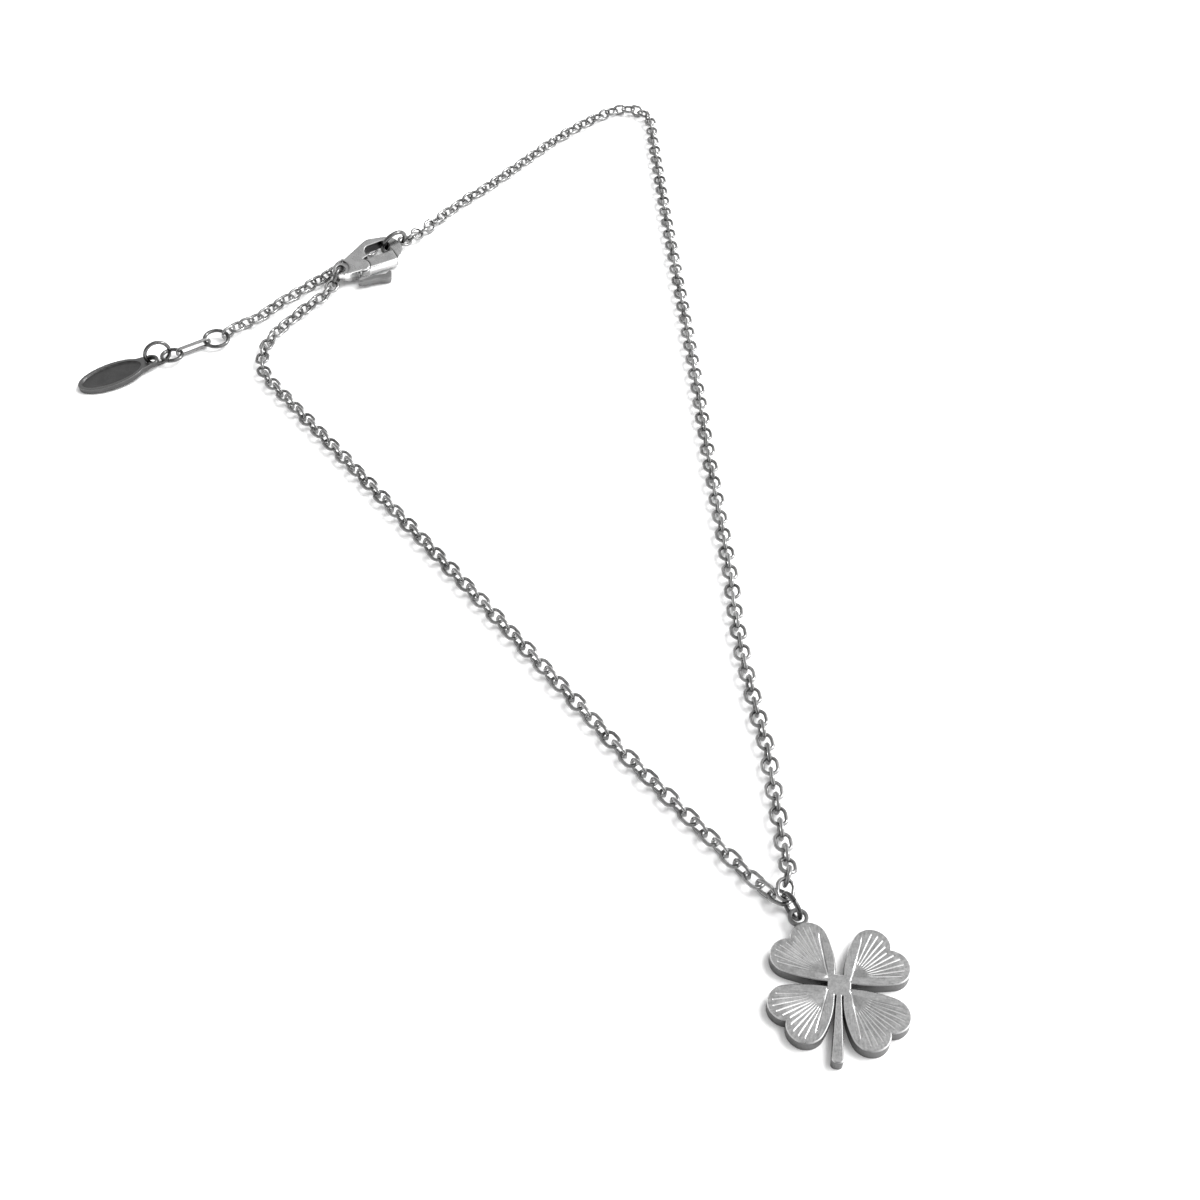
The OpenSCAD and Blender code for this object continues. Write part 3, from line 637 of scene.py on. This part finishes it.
def plate_height(x, y):
    """Height of the plate's face, and how much of it is a bright cut there."""
    p = np.array([abs(x), abs(y)]) - DISH_POINT
    low, high = p @ LOW_IN, p @ HIGH_IN
    r = np.linalg.norm(p)
    depth = 0.0
    if min(low, high) > 0 and r < DISH_R:
        bowl = DISH_DEPTH * (1 - r / DISH_R)
        depth = bowl * min(1.0, high / DISH_WALL) ** DISH_EASE * min(1.0, low / DISH_SLOPE)
    along, off = p @ HIGH_EDGE, abs(high - DISH_WALL / 2)
    cut = 0.0
    if GROOVE_START < along < GROOVE_END and off < RAY_W / 2:
        taper = min(1.0, (along - GROOVE_START) / GROOVE_FADE, (GROOVE_END - along) / GROOVE_TAIL)
        cut = (1 - off / (RAY_W / 2)) * taper
    relief = cut
    for way, reach in RAY_LINES:
        along, off = p @ way, abs(crossed(p, way))
        if RAY_START < along < reach and off < ray_half(along):
            taper = min(1.0, (along - RAY_START) / RAY_FADE, (reach - along) / RAY_END)
            cut = max(cut, (1 - off / ray_half(along)) * taper)
            relief = max(relief, (ray_half(along) - off) / (RAY_W / 2) * taper)
    return THICK - depth - RAY_DEPTH * relief, cut


def leaf_lines():
    """Chosen lines on the first leaf: each ray's bottom and sides, the dish's low side, and the cut line."""
    lines = []
    for way, reach in RAY_LINES:
        side = left_of(way)
        stops = [RAY_START, RAY_START + RAY_FADE / 2]
        stops += list(np.linspace(RAY_START + RAY_FADE, reach - RAY_END, RAY_STOPS)) + [reach]
        lines.append([DISH_POINT + way * s for s in stops])
        half = [ray_half(s) for s in stops]
        half[0] *= LINE_POINT
        half[-1] *= LINE_POINT
        for sign in (-1, 1):
            lines.append([DISH_POINT + way * s + sign * side * h for s, h in zip(stops, half)])
    edge_lines = [(LOW_EDGE, np.zeros(2), LOW_SIDE_START)]
    for step in ((DISH_WALL - RAY_W) / 2, DISH_WALL / 2, (DISH_WALL + RAY_W) / 2):
        edge_lines.append((HIGH_EDGE, HIGH_IN * step, CUT_LINE_START + 2 * abs(step)))
    for edge, shift, start in edge_lines:
        lines.append([DISH_POINT + edge * s + shift for s in np.linspace(start, GROOVE_END, EDGE_STOPS)])
    return lines


LEAF_LINES = leaf_lines()
LINE_STOPS = np.concatenate(LEAF_LINES)


def face_mesh(rim):
    """The face's points, its triangles, and which of the points each point of the rim has become."""
    points = [Vector(p) for p in rim]
    edges = [(i, (i + 1) % len(rim)) for i in range(len(rim))]
    for sx in (1, -1):
        for sy in (1, -1):
            for line in LEAF_LINES:
                first = len(points)
                points += [Vector((sx * p[0], sy * p[1])) for p in line]
                edges += [(first + k, first + k + 1) for k in range(len(line) - 1)]
    reach = LOBE_OUT + LOBE_R
    steps = int(2 * reach / FACE_GRID)
    for i in range(steps):
        for j in range(steps):
            x = GRID_SHIFT[0] - reach + (i + 0.5 * (j % 2)) * FACE_GRID
            y = GRID_SHIFT[1] - reach + j * FACE_GRID * GRID_ROWS
            if np.linalg.norm(LINE_STOPS - (abs(x), abs(y)), axis=1).min() > GRID_CLEAR:
                points.append(Vector((x, y)))
    found, _, faces, origin, _, _ = delaunay_2d_cdt(points, edges, [list(range(len(rim)))], 1, SAME_POINT)
    place = {}
    for k, came in enumerate(origin):
        for source in came:
            place.setdefault(source, k)
    return found, faces, [place[i] for i in range(len(rim))]


def make_clover_plate():
    """The plate's mesh: a patterned face, a bevelled edge, walls, a flat back and the eye."""
    outline = clover_outline()
    points, faces, rim = face_mesh(inset(outline, EDGE + EDGE_FLAT))
    work = bmesh.new()
    cut_layer = work.verts.layers.float.new("cut")
    wall_layer = work.verts.layers.float.new("wall")
    top = {}
    for k in sorted({k for face in faces for k in face}):
        z, cut = plate_height(*points[k])
        top[k] = work.verts.new((points[k][0], points[k][1], z))
        top[k][cut_layer] = cut
    for face in faces:
        work.faces.new([top[k] for k in face])
    ring = [top[k] for k in rim]
    for inwards, down, wall, cut in BEVEL_RINGS:
        ring = bridged(work, ring, inset(outline, EDGE * inwards), THICK - EDGE * down, (wall_layer, wall),
                       (cut_layer, cut))
    # the plate's sides and back get the full painted shade
    for line, z in ((outline, THICK - 2 * EDGE), (outline, EDGE / 2), (inset(outline, EDGE / 2), 0)):
        ring = bridged(work, ring, line, z, (wall_layer, 1))
    work.faces.new(list(reversed(ring)))
    add_eye(work, wall_layer)
    bmesh.ops.recalc_face_normals(work, faces=work.faces)
    return work


def bridged(work, ring, line, z, *layers):
    """A further ring of points below the last one, joined to it with faces."""
    new = []
    for p in line:
        vert = work.verts.new((p[0], p[1], z))
        for layer, value in layers:
            vert[layer] = value
        new.append(vert)
    for k in range(len(ring)):
        following = (k + 1) % len(ring)
        work.faces.new([ring[following], ring[k], new[k], new[following]])
    return new


def add_eye(work, wall_layer):
    """The eye on the upper left leaf: a thin washer whose root is sunk in the leaf's edge."""
    middle = np.array([-LOBE_HIGH[0], LOBE_HIGH[1]]) + (LOBE_R + EYE_HOLE_R + EYE_WALL) * toward(EYE_DIR)
    high, low = THICK - EYE_SINK, THICK - EYE_T
    section = [(EYE_HOLE_R, low + EYE_EDGE), (EYE_HOLE_R, high - EYE_EDGE), (EYE_HOLE_R + EYE_EDGE, high),
               (EYE_R - EYE_EDGE, high), (EYE_R, high - EYE_EDGE), (EYE_R, low + EYE_EDGE),
               (EYE_R - EYE_EDGE, low), (EYE_HOLE_R + EYE_EDGE, low)]
    turns = []
    for k in range(EYE_STEPS):
        way = toward(360 * k / EYE_STEPS)
        turns.append([work.verts.new((*(middle + r * way), z)) for r, z in section])
        # painted shade: full inside the hole, EYE_SHADE of it over the rest of the eye
        for vert, (r, _) in zip(turns[-1], section):
            vert[wall_layer] = 1.0 if r == EYE_HOLE_R else EYE_SHADE
    for k in range(EYE_STEPS):
        a, b = turns[k], turns[(k + 1) % EYE_STEPS]
        for m in range(len(section)):
            n = (m + 1) % len(section)
            work.faces.new([a[m], a[n], b[n], b[m]])


SCRATCHES = 26.0         # scratches to each radian of a leaf's fan


def fan_brushing(hub):
    """Where the clover's scratches are read: they fan out from the point of each leaf's dish."""
    def places(tree, place):
        own = node(tree, "ShaderNodeMapping", {"Vector": place, "Location": hub, "Scale": (MM, MM, MM),
                                               "Rotation": (0, 0, math.radians(CLOVER_TURN))},
                   vector_type="TEXTURE").outputs["Vector"]
        folded = node(tree, "ShaderNodeVectorMath", {0: own}, operation="ABSOLUTE").outputs["Vector"]
        off = node(tree, "ShaderNodeVectorMath", {0: folded, 1: (*DISH_POINT, 0)}, operation="SUBTRACT")
        part = node(tree, "ShaderNodeSeparateXYZ", {0: off.outputs["Vector"]}).outputs
        angle = calculated(tree, "ARCTAN2", part["Y"], part["X"])
        across = calculated(tree, "MULTIPLY", angle, SCRATCHES)
        run = node(tree, "ShaderNodeVectorMath", {0: off.outputs["Vector"]}, operation="LENGTH")
        return node(tree, "ShaderNodeCombineXYZ", {"X": across, "Y": run.outputs["Value"]}).outputs["Vector"]
    return places


def make_clover():
    piece = shown("four_leaf_clover", make_clover_plate())
    mesh = piece.data
    low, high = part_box("clover")
    mesh.transform(Matrix.Rotation(math.radians(CLOVER_TURN), 4, "Z") @ Matrix.Scale(MM, 4))
    now = np.array([v.co for v in mesh.vertices])
    middle = (now.min(0) + now.max(0)) / 2
    hub = Vector(((low.x + high.x) / 2 - middle[0], (low.y + high.y) / 2 - middle[1],
                  low.z - now[:, 2].min()))
    mesh.transform(Matrix.Translation(hub))
    smooth(piece, CLOVER_CREASE)
    # the darker mark is painted shade on the plate's sides, back and eye; the bright mark is the cut lines
    satin = metal("satin_clover", 0.31, 0.36, grain=0.0002, fleck=0.19, brushing=fan_brushing(hub),
                  marks=[("cut", 0.97, 0.2), ("wall", 0.13, 0.42)])
    finished(piece, satin, "clover_metal", "clover")


# Surroundings: a white surface in a grey room with a bright side and a darker near side
FLOOR_HALF = 8
FLOOR_TONE = (0.95, 0.98)
FLOOR_GRAIN = 220.0
FLOOR_ROUGH, FLOOR_SHEEN = 0.9, 0.1


def make_floor():
    mesh = bpy.data.meshes.new("surface")
    h = FLOOR_HALF
    mesh.from_pydata([(-h, -h, 0), (h, -h, 0), (h, h, 0), (-h, h, 0)], [], [(0, 1, 2, 3)])
    floor = show("surface", mesh)
    material = bpy.data.materials.new("white_surface")
    material.use_nodes = True
    tree = material.node_tree
    shader = tree.nodes["Principled BSDF"]
    shader.inputs["Roughness"].default_value = FLOOR_ROUGH
    shader.inputs["Specular IOR Level"].default_value = FLOOR_SHEEN
    place = node(tree, "ShaderNodeTexCoord").outputs["Object"]
    tone = mapped(tree, noise(tree, place, FLOOR_GRAIN, detail=2.0), *FLOOR_TONE)
    tree.links.new(grey(tree, tone), shader.inputs["Base Color"])
    mesh.materials.append(material)


# A side of the room: its direction, the cosines where it starts and is full, and its levels around and inside
BRIGHT_SIDE = ((0.8, 0.1, 0.58), 0.62, 0.9, 0.75, 2.4)
DARK_SIDE = ((-0.1, -0.95, 0.25), 0.85, 0.98, 1.0, 0.3)
HORIZON_LEVEL, ROOM_LEVEL = 1.05, 0.75
HORIZON_TOP = 0.3        # height to which the paler horizon reaches, as a sine


def room_side(tree, way, centre, start, full, low, high):
    """A level that changes softly towards one side of the room."""
    facing = node(tree, "ShaderNodeVectorMath", {0: way, 1: Vector(centre).normalized()},
                  operation="DOT_PRODUCT").outputs["Value"]
    return mapped(tree, facing, low, high, start, full, interpolation_type="SMOOTHSTEP")


def make_world():
    """A grey room: bright on the right, paler at the horizon, dark behind the camera."""
    world = bpy.data.worlds.new("room")
    bpy.context.scene.world = world
    world.use_nodes = True
    tree = world.node_tree
    way = node(tree, "ShaderNodeTexCoord").outputs["Generated"]
    height = node(tree, "ShaderNodeSeparateXYZ", {0: way}).outputs["Z"]
    skirt = mapped(tree, height, HORIZON_LEVEL, ROOM_LEVEL, 0.0, HORIZON_TOP)
    room = calculated(tree, "MAXIMUM", room_side(tree, way, *BRIGHT_SIDE), skirt)
    level = calculated(tree, "MULTIPLY", room, room_side(tree, way, *DARK_SIDE))
    background = tree.nodes["Background"]
    tree.links.new(level, background.inputs["Color"])
    background.inputs["Strength"].default_value = 1.0


def make_light(name, at, size, power):
    """A round soft light that faces the necklace, with its place and size in metres."""
    data = bpy.data.lights.new(name, "AREA")
    data.shape = "DISK"
    data.size = size
    data.energy = power
    light = bpy.data.objects.new(name, data)
    light.location = at
    light.rotation_euler = Vector(at).to_track_quat("Z", "Y").to_euler()
    bpy.context.scene.collection.objects.link(light)
    return light


def make_lights():
    """One small light that only the metal mirrors, and one soft light that only the surface takes."""
    glint = make_light("side_glint", (0.8, 0.2, 0.5), 0.3, 6.5)
    glint.visible_diffuse = False
    overhead = make_light("overhead_panel", (0.6, 0.17, 0.77), 0.7, 9.8)
    overhead.visible_glossy = False
    bpy.context.scene.view_settings.view_transform = "Standard"


make_camera()
make_world()
make_lights()
make_floor()
make_clover()
make_wires()
make_clasp()
make_tag()
